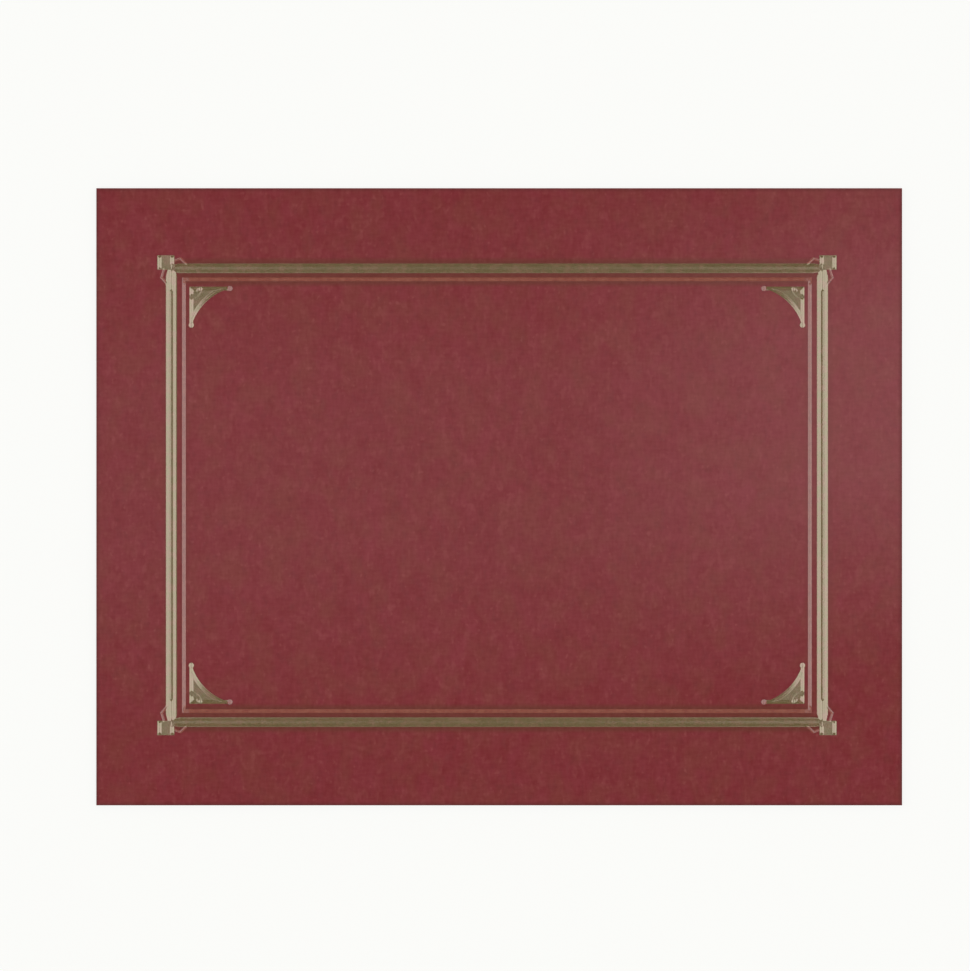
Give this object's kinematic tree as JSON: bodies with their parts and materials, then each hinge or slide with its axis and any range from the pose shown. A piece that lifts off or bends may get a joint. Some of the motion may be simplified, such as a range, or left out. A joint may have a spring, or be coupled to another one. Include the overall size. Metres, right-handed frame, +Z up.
{
  "type": "document cover",
  "caption": "Folded linen-finish card cover for a letter-size document, with a blocked foil border, inner rule and corner ornaments on its front leaf.",
  "frame": {"origin": "on the ground under the middle of the closed cover", "axes": "+X along the fold, to the right as the front leaf is read; +Y from the free edges to the fold; +Z up, out of the front leaf"},
  "size_m": [0.3174, 0.2432, 0.0015],
  "materials": {
    "card": "matte",
    "foil": "satin"
  },
  "bodies": {
    "root": {"cover_sheet": "card", "foil_outer_frame": "foil", "foil_inner_rule": "foil", "foil_bracket_top_left": "foil", "foil_bracket_top_right": "foil", "foil_bracket_bottom_left": "foil", "foil_bracket_bottom_right": "foil"}
  },
  "joints": []
}
